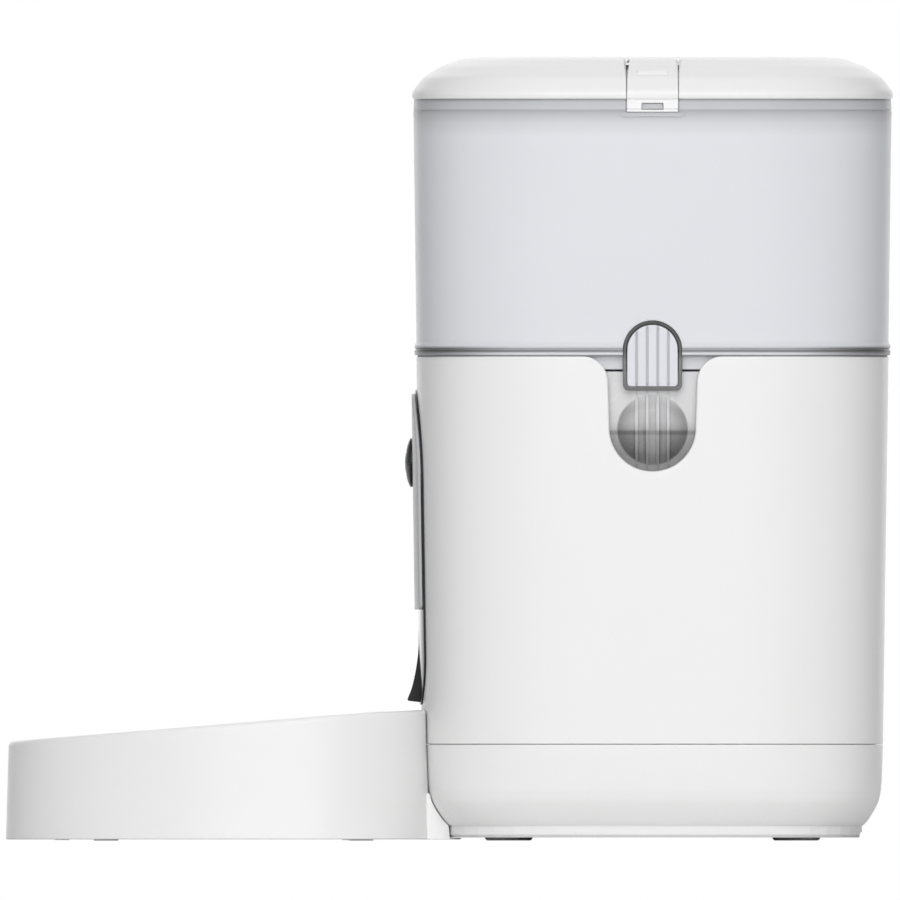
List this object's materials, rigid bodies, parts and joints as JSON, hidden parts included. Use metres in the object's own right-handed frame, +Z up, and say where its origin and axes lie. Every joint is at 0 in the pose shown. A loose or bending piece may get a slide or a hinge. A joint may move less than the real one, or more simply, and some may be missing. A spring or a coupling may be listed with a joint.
{
  "type": "automatic pet feeder",
  "caption": "Automatic dry-food feeder: squarish hopper with latched lid on a geared body, front camera panel and spout over a pull-off tray with a steel bowl.",
  "frame": {"origin": "middle of the whole feeder's bounding box at table height, on the floor plane of the rubber feet", "axes": "+Z up; the bowl and front panel are towards -X, the back towards +X; Y is the width"},
  "size_m": [0.3548, 0.1924, 0.3134],
  "materials": {
    "white_shell": "smooth satin-gloss white",
    "white_trim": "satin white",
    "white_inner": "matt off-white",
    "white_base": "fine matt texture",
    "seal": "soft matt silicone",
    "steel_pin": "ground",
    "steel_screw": "plated",
    "steel_spring": "stamped strip",
    "pack_paper": "fibrous white sachet",
    "hopper_clear": "frosted clear plastic",
    "smoke_clear": "smoked clear plastic",
    "tab_clear": "frosted clear plastic with ribs",
    "smoke_trim": "dark smoked trim",
    "dark_plastic": "moulded, matt",
    "soft_rubber": "soft silicone",
    "rubber_grey": "matt rubber",
    "cell_wrap": "shrink-wrapped",
    "motor_can": "drawn steel can",
    "brass_gear": "machined",
    "gear_plastic": "moulded acetal",
    "circuit_board": "solder mask",
    "black_gloss": "gloss black",
    "black_satin": "satin black",
    "panel_silver": "pale gloss face",
    "lens_dark": "polished dark dome",
    "light_lens": "milky light lens",
    "grey_plastic": "moulded grey",
    "bowl_steel": "satin brushed"
  },
  "bodies": {
    "body": {"upper_body": "white_shell", "lower_body": "white_shell", "base_plate": "white_base", "rubber_feet": "rubber_grey", "base_screws": "steel_screw", "battery_box": "dark_plastic", "battery_cells": "cell_wrap", "battery_contacts": "steel_spring", "deck": "white_inner", "deck_screws": "steel_screw", "hopper_seat": "smoke_clear", "gearbox_plate": "white_inner", "idler_pin": "steel_pin", "gear_motor": "motor_can", "inner_chute": "white_inner", "ir_sensors": "dark_plastic", "main_board": "circuit_board", "board_parts": "dark_plastic", "front_board": "circuit_board", "camera_module": "dark_plastic", "panel_plate": "black_gloss", "front_panel": "panel_silver", "camera_ring": "black_gloss", "camera_lens": "lens_dark", "status_light": "light_lens", "microphone": "dark_plastic", "spout": "black_satin", "speaker": "dark_plastic", "power_inlet": "dark_plastic"},
    "hopper": {"hopper": "hopper_clear", "hopper_gasket": "seal", "release_bezels": "smoke_trim"},
    "lid": {"lid": "white_shell", "lid_seal": "seal", "latch_pins": "steel_pin", "desiccant_holder": "white_inner", "desiccant_pack": "pack_paper"},
    "latch_left": {"latch_left": "white_trim"},
    "latch_right": {"latch_right": "white_trim"},
    "desiccant_cover": {"desiccant_cover": "white_inner"},
    "release_tab_left": {"release_tab_left": "tab_clear"},
    "release_tab_right": {"release_tab_right": "tab_clear"},
    "rotor": {"rotor": "dark_plastic", "agitator": "soft_rubber"},
    "output_gear": {"output_gear": "gear_plastic"},
    "idler_gear": {"idler_gear": "gear_plastic"},
    "motor_pinion": {"motor_pinion": "brass_gear"},
    "battery_cover": {"battery_cover": "white_base"},
    "feed_button": {"feed_button": "white_trim"},
    "reset_button": {"reset_button": "grey_plastic"},
    "tray": {"bowl_tray": "white_shell", "tray_base": "white_base", "tray_feet": "rubber_grey", "tray_screws": "steel_screw"},
    "food_bowl": {"food_bowl": "bowl_steel"}
  },
  "joints": [
    {"name": "lid_lift", "type": "slide", "parent": "hopper", "child": "lid", "axis": [0, 0, 1], "range_m": [0, 0.06]},
    {"name": "latch_left_turn", "type": "hinge", "parent": "lid", "child": "latch_left", "pos_m": [0.0812, 0.0764, 0.3104], "axis": [1, 0, 0], "range_deg": [0, 100]},
    {"name": "latch_right_turn", "type": "hinge", "parent": "lid", "child": "latch_right", "pos_m": [0.0812, -0.0764, 0.3104], "axis": [-1, 0, 0], "range_deg": [0, 100]},
    {"name": "desiccant_cover_turn", "type": "hinge", "parent": "lid", "child": "desiccant_cover", "pos_m": [0.0812, 0, 0.2966], "axis": [0, 0, 1], "range_deg": [0, 45]},
    {"name": "hopper_lift", "type": "slide", "parent": "body", "child": "hopper", "axis": [0, 0, 1], "range_m": [0, 0.1]},
    {"name": "release_left_press", "type": "slide", "parent": "hopper", "child": "release_tab_left", "axis": [0, -1, 0], "range_m": [0, 0.0016], "stiffness_N_per_m": 2500, "springref_m": -0.0006},
    {"name": "release_right_press", "type": "slide", "parent": "hopper", "child": "release_tab_right", "axis": [0, 1, 0], "range_m": [0, 0.0016], "stiffness_N_per_m": 2500, "springref_m": -0.0006},
    {"name": "rotor_spin", "type": "hinge", "parent": "hopper", "child": "rotor", "pos_m": [0.0812, 0, 0.13], "axis": [0, 0, 1], "continuous": true},
    {"name": "output_spin", "type": "hinge", "parent": "body", "child": "output_gear", "pos_m": [0.0812, 0, 0.105], "axis": [0, 0, 1], "continuous": true},
    {"name": "idler_spin", "type": "hinge", "parent": "body", "child": "idler_gear", "pos_m": [0.11165, 0.0142, 0.1], "axis": [0, 0, 1], "continuous": true},
    {"name": "pinion_spin", "type": "hinge", "parent": "body", "child": "motor_pinion", "pos_m": [0.11926, -0.0142, 0.098], "axis": [0, 0, 1], "continuous": true},
    {"name": "battery_cover_slide", "type": "slide", "parent": "body", "child": "battery_cover", "axis": [1, 0, 0], "range_m": [0, 0.112]},
    {"name": "feed_press", "type": "slide", "parent": "body", "child": "feed_button", "axis": [1, 0, 0], "range_m": [0, 0.0012], "stiffness_N_per_m": 1500, "springref_m": -0.0006},
    {"name": "reset_press", "type": "slide", "parent": "body", "child": "reset_button", "axis": [-1, 0, 0], "range_m": [0, 0.001], "stiffness_N_per_m": 1200, "springref_m": -0.0005},
    {"name": "tray_pull", "type": "slide", "parent": "body", "child": "tray", "axis": [-1, 0, 0], "range_m": [0, 0.06]},
    {"name": "bowl_lift", "type": "slide", "parent": "tray", "child": "food_bowl", "axis": [-0.0805, 0, 0.9968], "range_m": [0, 0.05]}
  ],
  "couplings": [
    {"joint": "output_spin", "follows": "rotor_spin", "ratio": 1},
    {"joint": "idler_spin", "follows": "rotor_spin", "ratio": -3},
    {"joint": "pinion_spin", "follows": "rotor_spin", "ratio": 7.5}
  ]
}
